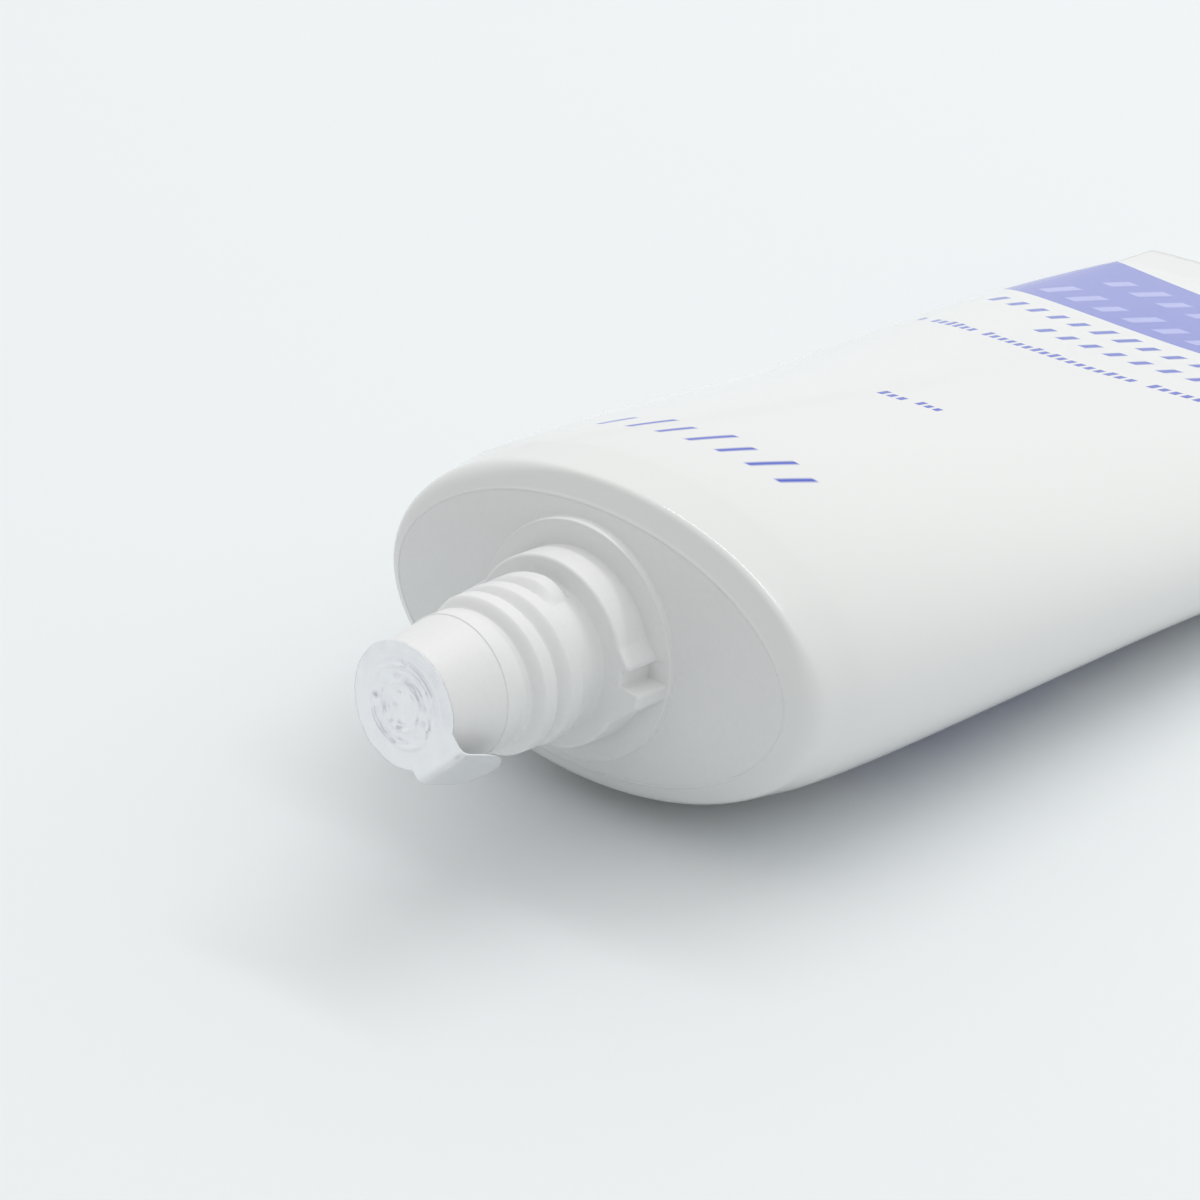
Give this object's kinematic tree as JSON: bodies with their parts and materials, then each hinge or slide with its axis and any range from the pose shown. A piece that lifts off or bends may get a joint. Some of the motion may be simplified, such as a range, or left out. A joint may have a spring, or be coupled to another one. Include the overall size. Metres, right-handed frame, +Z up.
{
  "type": "cream tube",
  "caption": "Sealed oval squeeze tube lying on its back, with a crimped tail, a threaded nozzle and a foil seal with a pull tab.",
  "frame": {"origin": "middle of the tube's bounding box, on the surface it lies on", "axes": "+Y along the tube from the nozzle to the crimped tail, +X across the wide face, +Z up; the neck's axis tilts up by 6.8 degrees towards the nozzle"},
  "size_m": [0.0542, 0.1274, 0.0248],
  "materials": {
    "sleeve_plastic": "glossy white laminate with a blue printed band",
    "head_plastic": "satin moulded white plastic",
    "foil": "bright, slightly crumpled foil"
  },
  "bodies": {
    "root": {"sleeve": "sleeve_plastic", "head": "head_plastic", "foil_seal": "foil"}
  },
  "joints": []
}
